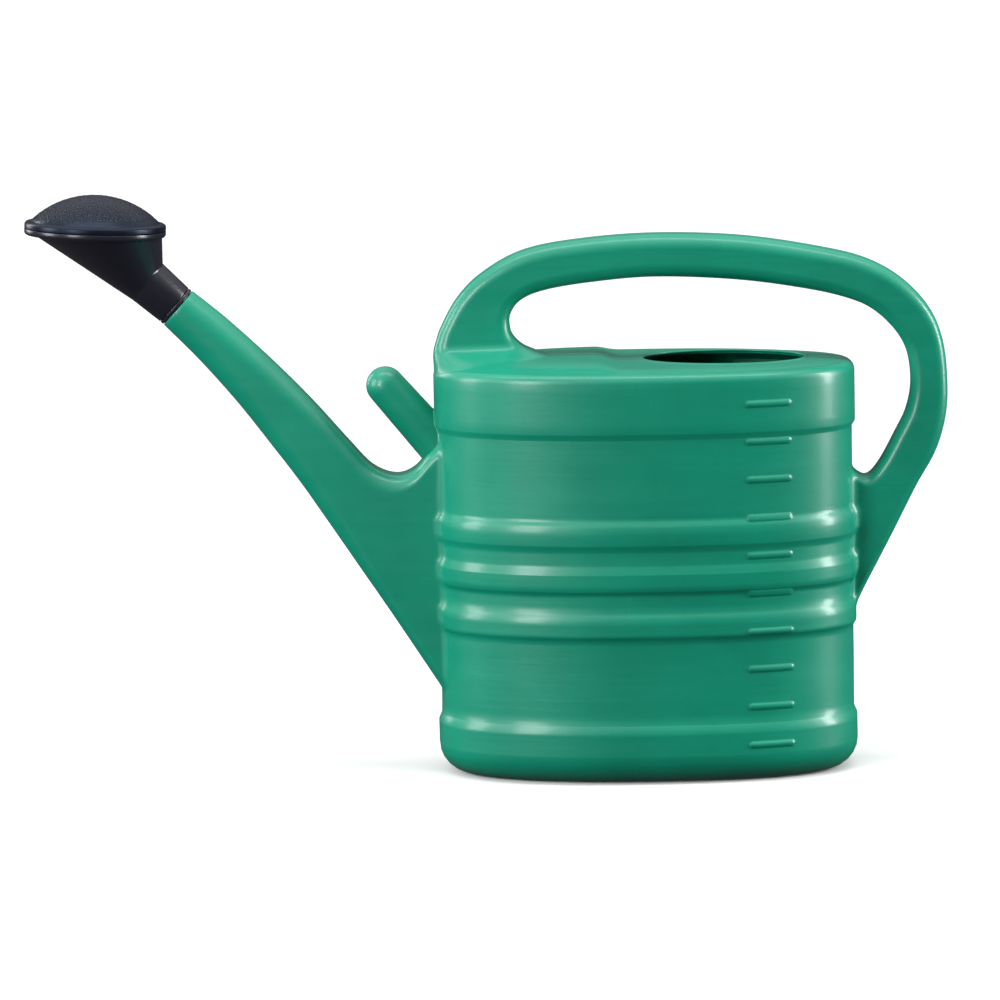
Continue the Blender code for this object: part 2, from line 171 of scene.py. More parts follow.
# Parking peg.
PEG_TIP = (-180.2, 271.4)
PEG_ANGLE = 49.6
PEG_TIP_RADIUS = 13.4
PEG_ROOT_RADIUS = 15.5
PEG_LENGTH = 84.0
PEG_FILLET = 2.5
PEG_STEP = 2.5

# Spout mouth and rose: the joint gives the mouth and the axis.
TURN_JOINT = next(joint for joint in frame["joints"] if joint["name"] == "rose_turn")
MOUTH_ANGLE = 42.0
MOUTH_ROUND = ((0.8, 0.0), (0.4, 0.12), (0.15, 0.4), (0.0, 0.8))
SPIGOT_RADIUS = 11.5
SPIGOT_BORE = 9.3
SPIGOT_LENGTH = 22.0
BORE_DEPTH = 36.0
SLEEVE_BORE = 11.8
SLEEVE_TUBE = 13.2
SLEEVE_LIP = 15.2
SLEEVE_START = 0.4
SLEEVE_LIP_HEIGHT = 3.0
SLEEVE_LENGTH = 24.0
COLLAR_START = 3.3
COLLAR_RADIUS = 15.2
COLLAR_TOP_RADIUS = 16.5
COLLAR_LENGTH = 28.0
COLLAR_BORE = 13.5
COLLAR_STOP = 11.5
FUNNEL_WALL = 1.8
FUNNEL_TOP = (44.5, 45.5)
FUNNEL_SHIFT = 2.1
RIM_CENTRE = (-379.6, 384.0)
RIM_TILT = 2.6
RIM_RADIUS = 49.2
RIM_HEIGHT = 4.6
SKIRT_BORE = 44.8
DOME_RADIUS = 63.5
DOME_HEIGHT = 23.6
DOME_EDGE = 44.0
DOME_WALL = 1.8
SKIRT_RADIUS = 44.4
SKIRT_WALL = 1.6
SKIRT_DEPTH = 4.0
RIM_GAP = 0.2
JET_RINGS = 10
JET_PITCH = 4.7
JET_SPACING = 6.6
# Near-black discs set in the jets' bores: painted shade standing in for the dark inside of each water hole.
JET_LATHE = ((1.6, -0.25), (1.2, 0.09), (1.0, 0.12), (0.85, 0.09), (0.7, -0.25))
HOLE_SHADE_LATHE = ((0.84, -0.2), (0.84, 0.05), (0.02, 0.03), (0.02, -0.2))
ROSE_COLUMNS = 128
PIT_LEVELS = (0.3905, 0.3925)  # in metres: the pits fade in just above the rim's bead

# Stage, in metres and watts. Each light is its name, place, size and power.
LIGHT_TARGET = (-0.08, 0.0, 0.2)
LIGHTS = (
    ("key_left", (-1.6, -2.05, 1.0), (0.7, 1.5), 49.0),
    ("side_left", (-2.5, -0.5, 0.9), (0.8, 1.4), 42.0),
    ("top", (-0.1, -0.25, 2.3), (2.6, 0.4), 23.0),
    ("right_strip", (2.4, -0.2, 0.85), (0.55, 1.7), 80.0),
    ("back_left", (-2.0, 1.5, 0.9), (0.6, 1.4), 16.0),
)
SKY_COLOUR = (0.98, 0.99, 1.0, 1.0)
SKY_RAMP = {"From Min": 0.16, "From Max": 0.85, "To Min": 0.06, "To Max": 1.15}
FLOOR_RADII = (0.5, 2.0, 8.0, 30.0)
CAMERA_PLACE = (-0.10, -4.5, 0.786)
CAMERA_AIM = (-0.1016, 0.0, 0.1895)
CAMERA_LENS = 234.0
CAMERA_ROLL = -0.95


class WateringCanSettings(bpy.types.PropertyGroup):
    """Sizes and colours of the can that a user may change."""

    band_rise: FloatProperty(
        name="Band Rise",
        description="How far the tank's bands and ribs stand proud of its wall",
        default=0.0022,
        min=0.0,
        max=0.006,
        unit="LENGTH",
    )
    mark_rise: FloatProperty(
        name="Litre Mark Rise",
        description="How far the litre marks stand proud of the wall",
        default=0.0012,
        min=0.0,
        max=0.004,
        unit="LENGTH",
    )
    seam_rise: FloatProperty(
        name="Mould Seam Rise",
        description="Height of the fine seam where the two halves of the mould meet",
        default=0.00022,
        min=0.0,
        max=0.001,
        unit="LENGTH",
    )
    wall_unevenness: FloatProperty(
        name="Wall Unevenness",
        description="Slow waves that a blown wall keeps after it cools",
        default=0.00018,
        min=0.0,
        max=0.001,
        unit="LENGTH",
    )
    can_colour: FloatVectorProperty(
        name="Can Colour",
        description="Colour of the can's polyethylene",
        default=(0.0004, 0.222, 0.135),
        min=0.0,
        max=1.0,
        size=3,
        subtype="COLOR",
    )
    rose_colour: FloatVectorProperty(
        name="Rose Colour",
        description="Colour of the rose's plastic",
        default=(0.0045, 0.006, 0.012),
        min=0.0,
        max=1.0,
        size=3,
        subtype="COLOR",
    )
    floor_colour: FloatVectorProperty(
        name="Floor Colour",
        description="Colour of the studio floor",
        default=(0.8, 0.8, 0.8),
        min=0.0,
        max=1.0,
        size=3,
        subtype="COLOR",
    )


# Grids ----------------


def smoothstep(value, low, high):
    """3t² - 2t³ of how far a value has come from low to high."""
    t = np.clip((value - low) / (high - low), 0.0, 1.0)
    return t * t * (3.0 - 2.0 * t)


def smooth_rows(table, steps):
    """Catmull-Rom curve through the rows of a table.

    A span from b to c, with a before it and d after, is
    b + t/2 (c - a) + t²/2 (2a - 5b + 4c - d) + t³/2 (3(b - c) + d - a).
    """
    table = np.asarray(table, float)
    padded = np.vstack([2.0 * table[0] - table[1], table, 2.0 * table[-1] - table[-2]])
    a, b, c, d = (padded[i : i + len(table) - 1, None, :] for i in range(4))
    t = (np.arange(steps) / steps)[None, :, None]
    spans = b + 0.5 * t * (c - a + t * (2 * a - 5 * b + 4 * c - d + t * (3 * (b - c) + d - a)))
    return np.vstack([spans.reshape(-1, table.shape[1]), table[-1:]])


def rounded_path(corners, steps):
    """A path of straight lines whose corners x, z, radius are rounded by arcs.

    An arc leaves its corner's two lines at radius / tan(half the angle between them).
    """
    points = [corners[0][:2]]
    t = np.linspace(0.0, 1.0, steps + 1)[:, None]
    for before, here, after in zip(corners, corners[1:], corners[2:]):
        radius, corner = here[2], np.array(here[:2])
        if radius == 0.0:
            points.append(corner)
            continue
        back, ahead = np.array(before[:2]) - corner, np.array(after[:2]) - corner
        back /= np.linalg.norm(back)
        ahead /= np.linalg.norm(ahead)
        half = 0.5 * math.acos(np.clip(back @ ahead, -1.0, 1.0))
        middle = (back + ahead) / np.linalg.norm(back + ahead)
        centre = corner + middle * radius / math.sin(half)
        start = corner + back * radius / math.tan(half) - centre
        end = corner + ahead * radius / math.tan(half) - centre
        sweep = math.pi - 2.0 * half
        points.append(centre + (np.sin((1.0 - t) * sweep) * start + np.sin(t * sweep) * end) / math.sin(sweep))
    points.append(corners[-1][:2])
    return np.vstack(points)


def rows_at(rows, at):
    """Each column's points at fractional row numbers, straight between its own rows."""
    low = np.clip(np.floor(at).astype(int), 0, len(rows) - 2)
    part = (at - low)[..., None]
    a = np.take_along_axis(rows, low[..., None], axis=0)
    b = np.take_along_axis(rows, low[..., None] + 1, axis=0)
    return a + (b - a) * part


def rows_at_length(rows, wanted):
    """Each column's points at wanted lengths along it, from its first row."""
    steps = np.linalg.norm(np.diff(rows, axis=0), axis=2)
    length = np.vstack([np.zeros(rows.shape[1]), np.cumsum(steps, axis=0)])
    low = (length[:, None, :] <= wanted[None, :, :] + 1e-9).sum(axis=0) - 1
    low = np.clip(low, 0, len(rows) - 2)
    start = np.take_along_axis(length, low, axis=0)
    step = np.take_along_axis(steps, low, axis=0)
    return rows_at(rows, low + (wanted - start) / step)


def poled(rows):
    """A skin closed at both ends by a point: the mean of its first row and the mean of its last.

    Returns points and faces; row r, column c joins r + 1 and c + 1, and the columns go round.
    """
    count, columns = rows.shape[:2]
    points = np.vstack([rows.reshape(-1, 3), rows[0].mean(axis=0), rows[-1].mean(axis=0)])
    ring = np.arange(columns)
    after = (ring + 1) % columns
    base = np.arange(count - 1)[:, None] * columns
    quads = np.stack([base + ring, base + after, base + columns + after, base + columns + ring], axis=-1)
    first, last = count * columns, count * columns + 1
    end = (count - 1) * columns
    fan_in = np.stack([np.full(columns, first), after, ring], axis=-1)
    fan_out = np.stack([np.full(columns, last), end + ring, end + after], axis=-1)
    return points, [*quads.reshape(-1, 4).tolist(), *fan_in.tolist(), *fan_out.tolist()]


def looped(rows):
    """A skin whose last row joins its first, like a ring: the columns go round as well."""
    count, columns = rows.shape[:2]
    ring = np.arange(columns)
    after = (ring + 1) % columns
    base = np.arange(count)[:, None] * columns
    over = (np.arange(count) + 1)[:, None] % count * columns
    quads = np.stack([base + ring, base + after, over + after, over + ring], axis=-1)
    return rows.reshape(-1, 3), quads.reshape(-1, 4).tolist()


def signed_volume(points, faces):
    """Sum over the faces' triangles of a . (b x c) / 6: below zero when they point inwards."""
    total = 0.0
    for corners in (3, 4):
        picked = np.array([face for face in faces if len(face) == corners], int)
        for second in range(1, corners - 1):
            if len(picked):
                a, b, c = points[picked[:, 0]], points[picked[:, second]], points[picked[:, second + 1]]
                total += np.einsum("ij,ij->i", a, np.cross(b, c)).sum() / 6.0
    return total


def add_piece(name, skin, material, body, node=None):
    """Put a skin, in millimetres, into the scene as a named piece with its faces outwards."""
    points, faces = skin
    if signed_volume(points, faces) < 0.0:
        faces = [face[::-1] for face in faces]
    mesh = bpy.data.meshes.new(name)
    mesh.from_pydata((points * MM).tolist(), [], faces)
    mesh.materials.append(material)
    mesh.shade_smooth()
    mesh.set_sharp_from_angle(angle=math.radians(SHARP_ANGLE))
    piece = bpy.data.objects.new(name, mesh)
    bpy.context.scene.collection.objects.link(piece)
    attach(piece, body)
    if node:
        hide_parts(node)


# Tank ----------------


def oval(turn, half_length, half_depth):
    """Plan outline: x = a sgn(cos) |cos|^(2/n), y = b sgn(sin) |sin|^(2/n), n differing front and rear."""
    power = 2.0 / np.where(np.cos(turn) < 0.0, FRONT_POWER, REAR_POWER)
    x = half_length * np.sign(np.cos(turn)) * np.abs(np.cos(turn)) ** power
    y = half_depth * np.sign(np.sin(turn)) * np.abs(np.sin(turn)) ** power
    return x, y


def wall_path(rise):
    """The wall's half outline, from the foot's edge up to the rim: inset from the full oval, and z."""
    corners = [(FOOT, 0.0, 0.0), (0.0, 0.0, FOOT - 0.01)]
    low, high = STEP_UP_ROUNDS
    corners += [(0.0, LOWER_BAND_TOP - STEP_UP, low), (rise, LOWER_BAND_TOP, high)]
    for foot, top in RIB_SPANS:
        corners += [(rise, foot, RIB_FOOT_ROUNDS[0]), (0.0, foot + STEP_DOWN, RIB_FOOT_ROUNDS[1])]
        corners += [(0.0, top - STEP_UP, low), (rise, top, high)]
    low, high = UPPER_BAND_ROUNDS
    corners += [(rise, UPPER_BAND_FOOT, low), (0.0, UPPER_BAND_FOOT + STEP_DOWN, high)]
    corners += [(0.0, RIM_LEVEL, SHOULDER), (2.0 * SHOULDER, RIM_LEVEL, 0.0)]
    return rounded_path(corners, 6)


def wall_inset(z, rise):
    """How far the wall stands inside the full oval at a height."""
    path = wall_path(rise)
    side = path[(path[:, 1] >= FOOT) & (path[:, 1] <= SIDE_TOP + 0.01)]
    return np.interp(z, side[:, 1], side[:, 0])


def top_level(x, y):
    """Height of the top: a pillow, 1 - s⁴, and in front of the filler a dome, 1 - s².

    s is |x/a|^n + |y/b|^n, which is 1 at the rim.
    """
    a, b = HALF_LENGTH - SHOULDER, HALF_DEPTH - SHOULDER
    spread = np.clip((np.abs(x) / a) ** FRONT_POWER + (np.abs(y) / b) ** FRONT_POWER, 0.0, 1.0)
    front = smoothstep(-x, -FRONT_STEP[1], -FRONT_STEP[0])
    return RIM_LEVEL + CROWN * (1.0 - spread**4) + FRONT_RISE * front * (1.0 - spread**2)


def tank_distance(points, rise):
    """Distance of points from the tank's skin, below zero inside.

    In plan it is the radius times g / (1 + g), where 1 + g is ((|x|/a)^n + (|y|/b)^n)^(1/n). With the
    height over the top it makes a rounded box: |max(d + r, 0)| + min(max(d + r), 0) - r.
    """
    x, y, z = points[..., 0], points[..., 1], points[..., 2]
    inset = wall_inset(z, rise)
    power = np.where(x < 0.0, FRONT_POWER, REAR_POWER)
    size = (np.abs(x) / (HALF_LENGTH - inset)) ** power + (np.abs(y) / (HALF_DEPTH - inset)) ** power
    size = np.maximum(size, 1e-9) ** (1.0 / power)
    side = np.hypot(x, y) * (size - 1.0) / size + SHOULDER
    over = z - top_level(x, y) + SHOULDER
    outside = np.hypot(np.maximum(side, 0.0), np.maximum(over, 0.0))
    return outside + np.minimum(np.maximum(side, over), 0.0) - SHOULDER


def tank_normal(points, rise):
    """Unit gradient of the distance, by differences of a tenth of a millimetre."""
    step = 0.05
    slopes = [tank_distance(points + e, rise) - tank_distance(points - e, rise) for e in np.eye(3) * step]
    normal = np.stack(slopes, axis=-1)
    return normal / np.linalg.norm(normal, axis=-1, keepdims=True)


def onto_tank(points, rise, level):
    """Move points along the normal, three times, until they lie at a distance from the skin."""
    for _ in range(3):
        away = tank_distance(points, rise) - level
        points = points - away[..., None] * tank_normal(points, rise)
    return points


def tank_turns():
    """Column angles, closer together at the seams, the litre marks and the step in the top.

    They are equal shares of the integral of columns per millimetre along the outline.
    """
    fine = np.linspace(-math.pi, math.pi, 24001)
    x, y = oval(fine, HALF_LENGTH, HALF_DEPTH)
    middle_x, middle_y = (x[1:] + x[:-1]) / 2.0, (y[1:] + y[:-1]) / 2.0
    density = np.full(len(middle_x), 1.0 / COLUMN_SPACING)
    marked = (middle_y < 0.0) & (np.abs(middle_x - MARK_X) < MARK_HALF_LENGTH + 3.0)
    density[marked] = 1.0 / MARK_SPACING
    density[(middle_x > FRONT_STEP[0] - 4.0) & (middle_x < FRONT_STEP[1] + 4.0)] = 1.0 / STEP_SPACING
    density[np.abs(middle_y) < 3.0 * SEAM_WIDTH] = 1.0 / SEAM_SPACING
    total = np.concatenate([[0.0], np.cumsum(density * np.hypot(np.diff(x), np.diff(y)))])
    count = int(round(total[-1]))
    return np.interp(np.arange(count) / count * total[-1], total, fine)


def litre_marks(x, y, z):
    """Share of full rise: 1 - (d / half-height)², where d is the distance from the nearest bar's middle line."""
    number = np.clip(np.round(z / MARK_PITCH), 1, MARK_COUNT)
    up = z - number * MARK_PITCH
    along = np.maximum(np.abs(x - MARK_X) - (MARK_HALF_LENGTH - MARK_HALF_HEIGHT), 0.0)
    distance = np.hypot(along, up) / MARK_HALF_HEIGHT
    return np.where(y < 0.0, np.clip(1.0 - distance**2, 0.0, 1.0), 0.0)


def wall_rows(turn, heights, insets):
    """Rows of the plan outline at given heights and insets."""
    x, y = oval(turn[None, :], HALF_LENGTH - insets[:, None], HALF_DEPTH - insets[:, None])
    return np.stack([x, y, np.broadcast_to(heights[:, None], x.shape)], axis=-1)


def plan_normal(rows):
    """Outward normal in plan of each point, from its two neighbours round the row."""
    ahead = np.roll(rows, -1, axis=1) - np.roll(rows, 1, axis=1)
    normal = np.stack([ahead[..., 1], -ahead[..., 0], np.zeros(ahead.shape[:2])], axis=-1)
    return normal / np.linalg.norm(normal, axis=-1, keepdims=True)


def top_rows(turn, shares, edge_inset, filler_grow):
    """Rows of the top, in plan (1 - f) times the rim plus f times the filler's ellipse."""
    rim_x, rim_y = oval(turn, HALF_LENGTH - edge_inset, HALF_DEPTH - edge_inset)
    hole_x = FILLER_X + (FILLER_HALF[0] + filler_grow) * np.cos(turn)
    hole_y = (FILLER_HALF[1] + filler_grow) * np.sin(turn)
    f = shares[:, None]
    x = (1.0 - f) * rim_x + f * hole_x
    y = (1.0 - f) * rim_y + f * hole_y
    return np.stack([x, y, top_level(x, y)], axis=-1)


def seam_ridge(rows, settings):
    """Height of the mould's seam over the middle plane: rise times e^-(y / width)²."""
    return settings.seam_rise / MM * np.exp(-((rows[..., 1] / SEAM_WIDTH) ** 2))


def wall_relief(rows, settings):
    """Relief of the wall: litre marks, seam, and waves sin(x/31 + z/47) sin(z/23 + y/17), faded at both ends."""
    x, y, z = rows[..., 0], rows[..., 1], rows[..., 2]
    wave = np.sin(x / 31.0 + z / 47.0) * np.sin(z / 23.0 + y / 17.0)
    fade = smoothstep(z, FOOT, WAVE_SPAN[0]) * (1.0 - smoothstep(z, WAVE_SPAN[1], SIDE_TOP))
    relief = settings.mark_rise / MM * litre_marks(x, y, z)
    return relief + settings.wall_unevenness / MM * wave * fade + seam_ridge(rows, settings)


def base_rows(turn, level, shares):
    """Rows of the base or the floor: the foot's inner edge shrunk by shares, with the middle pushed up."""
    rows = wall_rows(turn, np.full(len(shares), level), np.full(len(shares), FOOT))
    rows[..., :2] *= shares[:, None, None]
    rows[..., 2] += PUSH_UP * (1.0 - smoothstep(shares, *PUSH_UP_EDGE))[:, None]
    return rows


def wall_heights(path):
    """Heights of the wall's rows: the rounded steps', those round each litre mark, and some between."""
    side = path[(path[:, 1] >= FOOT) & (path[:, 1] <= SIDE_TOP), 1]
    marks = np.arange(1, MARK_COUNT + 1)[:, None] * MARK_PITCH
    marks = marks + MARK_HALF_HEIGHT * np.array([-1.25, -1.0, -0.8, -0.5, 0.0, 0.5, 0.8, 1.0, 1.25])
    heights = np.unique(np.round(np.concatenate([side, marks.ravel(), np.arange(FOOT, SIDE_TOP, ROW_SPACING)]), 2))
    return heights[np.append(True, np.diff(heights) > 0.25)]


def inner_heights():
    """Heights of the inside's rows, from the shoulder down, at the ends of each step of the wall."""
    heights = [SIDE_TOP - 1.0, 262.0, UPPER_BAND_FOOT + 3.0, UPPER_BAND_FOOT - 2.0]
    for foot, top in reversed(RIB_SPANS):
        heights += [top + 1.0, top - STEP_UP, foot + STEP_DOWN, foot]
    return np.array(heights + [LOWER_BAND_TOP, LOWER_BAND_TOP - STEP_UP, FOOT + WALL])


def tank_skin(settings):
    """Base, wall, shoulder, top and filler edge, then the inside back to the middle of the floor."""
    rise = settings.band_rise / MM
    turn = tank_turns()
    path = wall_path(rise)
    foot = path[path[:, 1] < FOOT][1:]
    shoulder = path[path[:, 1] > SIDE_TOP + 0.01][:-1]
    heights = wall_heights(path)
    wall = wall_rows(turn, heights, wall_inset(heights, rise))
    wall += wall_relief(wall, settings)[..., None] * plan_normal(wall)

    spread = [np.linspace(0.0, 0.72, 16)[1:], np.linspace(0.72, 0.94, 16)[1:], [0.96, 0.975, 0.99, 1.0]]
    spread = np.concatenate(spread)
    top = top_rows(turn, spread, SHOULDER, FILLER_EDGE)
    top[..., 2] += FILLER_RAISE * smoothstep(spread, 0.93, 0.99)[:, None] + seam_ridge(top, settings)
    angle = np.radians([22.5, 45.0, 67.5, 90.0])
    grow = np.append(FILLER_EDGE * (1.0 - np.sin(angle)), [0.2, 1.0])
    drop = np.append(FILLER_EDGE * (1.0 - np.cos(angle)), [FILLER_DROP, FILLER_DROP + 0.4])
    lip = np.concatenate([top_rows(turn, np.ones(1), SHOULDER, g) for g in grow])
    lip[..., 2] = top[-1:, :, 2] - drop[:, None]

    ceiling = top_rows(turn, np.linspace(0.98, 0.0, 9), SHOULDER + WALL, FILLER_EDGE)
    ceiling[..., 2] -= WALL
    inner = inner_heights()
    bend = np.radians([30.0, 60.0, 90.0])
    corner = WALL + (FOOT - WALL) * (1.0 - np.array([np.sin(bend), np.cos(bend)]))
    rows = [
        base_rows(turn, 0.0, np.array([0.08, 0.3, 0.55, 0.7, 0.72, 0.75, 0.78, 0.80, 0.9, 1.0])),
        wall_rows(turn, foot[:, 1], foot[:, 0]),
        wall,
        wall_rows(turn, shoulder[:, 1], shoulder[:, 0]),
        top,
        lip,
        ceiling,
        wall_rows(turn, inner, wall_inset(inner, rise) + WALL),
        wall_rows(turn, *corner),
        base_rows(turn, WALL, np.array([0.80, 0.70, 0.35, 0.08])),
    ]
    return poled(np.concatenate(rows))


# Tubes ----------------


def section_weights(flat, corner, side):
    """Columns of a rounded rectangle, as weights of its sizes.

    A column's width is a (W - r) + b r + c and its height d (H - r) + e r + f, where c and f shape the
    mould seam on the middle line. One quarter is worked out and mirrored three times.
    """
    quarter = [(0.0, 0.0, 0.0, 1.0, 1.0, 1.0), (0.0, 0.0, 0.45, 1.0, 1.0, 0.55), (0.0, 0.0, 1.0, 1.0, 1.0, 0.0)]
    quarter += [(t, 0.0, 0.0, 1.0, 1.0, 0.0) for t in np.linspace(0.0, 1.0, flat + 1)[1:]]
    angles = np.linspace(0.0, math.pi / 2.0, corner + 1)[1:]
    quarter += [(1.0, math.sin(t), 0.0, 1.0, math.cos(t), 0.0) for t in angles]
    quarter += [(1.0, 1.0, 0.0, 1.0 - t, 0.0, 0.0) for t in np.linspace(0.0, 1.0, side + 1)[1:]]
    quarter = np.array(quarter)
    down = np.array([1.0, 1.0, 1.0, -1.0, -1.0, -1.0])
    left = np.array([-1.0, -1.0, -1.0, 1.0, 1.0, 1.0])
    return np.vstack([quarter, quarter[-2::-1] * down, quarter[1:] * down * left, quarter[-2:0:-1] * left])


def tube_rows(sections, steps, weights, seam):
    """Rounded-rectangle rings along the sections: middle + up (height) + Y (width)."""
    table = smooth_rows(sections, steps)
    middle = (table[:, 0:2] + table[:, 2:4]) / 2.0
    up = table[:, 0:2] - table[:, 2:4]
    half_height = np.linalg.norm(up, axis=1) / 2.0
    up = up / (2.0 * half_height[:, None])
    flat_width, flat_height, radius = table[:, 4] - table[:, 5], half_height - table[:, 5], table[:, 5]
    fade = np.clip(flat_width / SEAM_FLAT, 0.0, 1.0)
    wide = flat_width[:, None] * weights[:, 0] + radius[:, None] * weights[:, 1] + fade[:, None] * weights[:, 2]
    high = flat_height[:, None] * weights[:, 3] + radius[:, None] * weights[:, 4]
    high = high + seam * fade[:, None] * weights[:, 5]
    x = middle[:, 0:1] + up[:, 0:1] * high
    z = middle[:, 1:2] + up[:, 1:2] * high
    return np.stack([x, wide, z], axis=-1)


def rooted(rows, rise, reach, spacing, cap=True):
    """Carry a tube on to the tank and round the corner between them.

    Each column is followed to the point P1 where it meets the skin. It leaves at P0, a reach short of P1,
    and ends at P2 on the skin, the same reach away from the tube, times the sine of the angle between
    the two surfaces. Between them it is (1 - t)² P0 + 2 t (1 - t) P1 + t² P2. A cap closes it under the skin.
    """
    away = tank_distance(rows, rise)
    if (away[0] < 0.0).any() or (away.min(axis=0) >= 0.0).any():
        raise ValueError("Every column of a rooted tube has to start outside the tank and end inside it")
    first = np.argmax(away < 0.0, axis=0)[None, :]
    before = np.take_along_axis(away, first - 1, axis=0)
    after = np.take_along_axis(away, first, axis=0)
    meet = first - 1 + before / (before - after)
    hit = rows_at(rows, meet)[0]
    steps = np.linalg.norm(np.diff(rows, axis=0), axis=2)
    length = np.vstack([np.zeros(rows.shape[1]), np.cumsum(steps, axis=0)])[..., None]
    hit_length = rows_at(length, meet)[0, :, 0]
    leave_length = hit_length - reach
    count = int(round(leave_length.max() / spacing))
    tube = rows_at_length(rows, np.linspace(0.0, 1.0, count + 1)[:, None] * leave_length)
    leave = tube[-1]
    round_way = np.roll(hit, -1, axis=0) - np.roll(hit, 1, axis=0)
    outward = np.cross(round_way, hit - leave)
    outward /= np.linalg.norm(outward, axis=1, keepdims=True)
    middle = hit.mean(axis=0)
    outward *= np.sign(((hit - middle) * outward).sum(axis=1).mean())
    normal = tank_normal(hit, rise)
    slide = outward - (outward * normal).sum(axis=1, keepdims=True) * normal
    land = onto_tank(hit + np.reshape(reach, (-1, 1)) * slide, rise, 0.0)
    t = np.linspace(0.0, 1.0, 11)[1:, None, None]
    fillet = (1.0 - t) ** 2 * leave + 2.0 * t * (1.0 - t) * hit + t**2 * land
    fillet = fillet - (0.15 * t**4) * normal
    parts = [tube, fillet, onto_tank(land, rise, -0.5)[None]]
    if cap:
        centre = land.mean(axis=0)
        shares = np.array([0.8, 0.55, 0.3, 0.1])[:, None, None]
        parts.append(onto_tank(centre + shares * (land - centre), rise, -1.1))
    return np.concatenate(parts)


def turned_frame(x, z, lean):
    """Origin and axes of a frame turned about Y: its Z leans towards +X by an angle in degrees."""
    c, s = math.cos(math.radians(lean)), math.sin(math.radians(lean))
    return np.array([x, 0.0, z]), np.array([c, 0.0, -s]), np.array([0.0, 1.0, 0.0]), np.array([s, 0.0, c])


def mouth_frame():
    """Frame of the spout's mouth, its Z along the axis that the rose turns on."""
    x, _, z = (value / MM for value in TURN_JOINT["pos_m"])
    return turned_frame(x, z, MOUTH_ANGLE - 90.0)


def rim_frame():
    """Frame of the rose's rim, its Z out of the face."""
    return turned_frame(*RIM_CENTRE, RIM_TILT)


def rings(place, angles, across, deep, heights, shift=0.0):
    """Ellipses across a frame's Z: origin + X (shift + a cos) + Y (b sin) + Z h, one row for each height."""
    origin, x_axis, y_axis, z_axis = place
    across, deep, heights = (np.atleast_1d(v)[:, None, None] for v in (across, deep, heights))
    shift = np.atleast_1d(shift)[:, None, None]
    c, s = np.cos(angles)[None, :, None], np.sin(angles)[None, :, None]
    return origin + (shift + across * c) * x_axis + deep * s * y_axis + heights * z_axis


def circle(count=ROSE_COLUMNS):
    """Equal angles once round."""
    return np.linspace(0.0, 2.0 * math.pi, count, endpoint=False)


def turned_rows(place, path, angles):
    """Circles about a frame's Z, one for each radius and height of a path."""
    path = np.asarray(path)
    return rings(place, angles, path[:, 0], path[:, 0], path[:, 1])


def spout_skin(settings):
    """Bore, spigot and mouth shoulder as circles, then the spout's skin down to the tank."""
    skin = tube_rows(SPOUT_SECTIONS, 12, section_weights(5, 9, 36), settings.seam_rise / MM)
    place = mouth_frame()
    first = skin[0] - place[0]
    angles = np.arctan2(first @ place[2], first @ place[1])
    tip = [
        (SPIGOT_BORE, 20.0, 0.0),
        (SPIGOT_BORE, SPIGOT_LENGTH, 0.5),
        (SPIGOT_RADIUS, SPIGOT_LENGTH, 0.7),
        (SPIGOT_RADIUS, 14.0, 0.0),
    ]
    profile = [(SPIGOT_BORE, z) for z in (-BORE_DEPTH, -12.0, 8.0, SPIGOT_LENGTH - 0.5)]
    profile += rounded_path(tip, 3)[1:-1].tolist()
    profile += [(SPIGOT_RADIUS, 10.0), (SPIGOT_RADIUS, 0.5), (SPIGOT_RADIUS + 0.5, 0.02)]
    edge = first / np.linalg.norm(first, axis=1, keepdims=True)
    inward, down = np.array(MOUTH_ROUND).T[:, :, None, None]
    shoulder = place[0] + first - inward * edge - down * place[3]
    body = rooted(skin[1:], settings.band_rise / MM, SPOUT_FILLET, FILLET_STEP)
    return poled(np.concatenate([turned_rows(place, profile, angles), shoulder, body]))


def fillet_reach(reach, side):
    """Reach of a fillet: the first value on the tube's edges, turning to the second on its sides, by side⁴."""
    return reach[0] + (reach[1] - reach[0]) * side**4


def handle_skin(settings):
    """The bow from its middle forward to the tank's top and nose, and from its middle back to the tank's rear."""
    rise = settings.band_rise / MM
    steps = 10
    rows = tube_rows(HANDLE_SECTIONS, steps, section_weights(4, 9, 26), settings.seam_rise / MM)
    middle = HANDLE_MIDDLE * steps
    side = np.abs(rows[middle, :, 1]) / np.abs(rows[middle, :, 1]).max()
    front = rooted(rows[middle::-1], rise, fillet_reach(HANDLE_FOOT_FILLET, side), FILLET_STEP)
    rear = rooted(rows[middle:], rise, fillet_reach(HANDLE_ROOT_FILLET, side), FILLET_STEP)
    return poled(np.concatenate([front[::-1], rear[1:]]))


def peg_skin(settings):
    """A half ball and a slow cone on one axis, from the tip down to the tank."""
    up = np.radians(np.linspace(86.0, 0.0, 13))
    radii = np.concatenate([PEG_TIP_RADIUS * np.cos(up), np.linspace(PEG_TIP_RADIUS, PEG_ROOT_RADIUS, 29)[1:]])
    heights = np.concatenate([PEG_TIP_RADIUS * np.sin(up), np.linspace(0.0, -PEG_LENGTH, 29)[1:]])
    place = turned_frame(*PEG_TIP, PEG_ANGLE - 90.0)
    rows = turned_rows(place, np.column_stack([radii, heights]), circle(64))
    return poled(rooted(rows, settings.band_rise / MM, PEG_FILLET, PEG_STEP))


# Rose ----------------


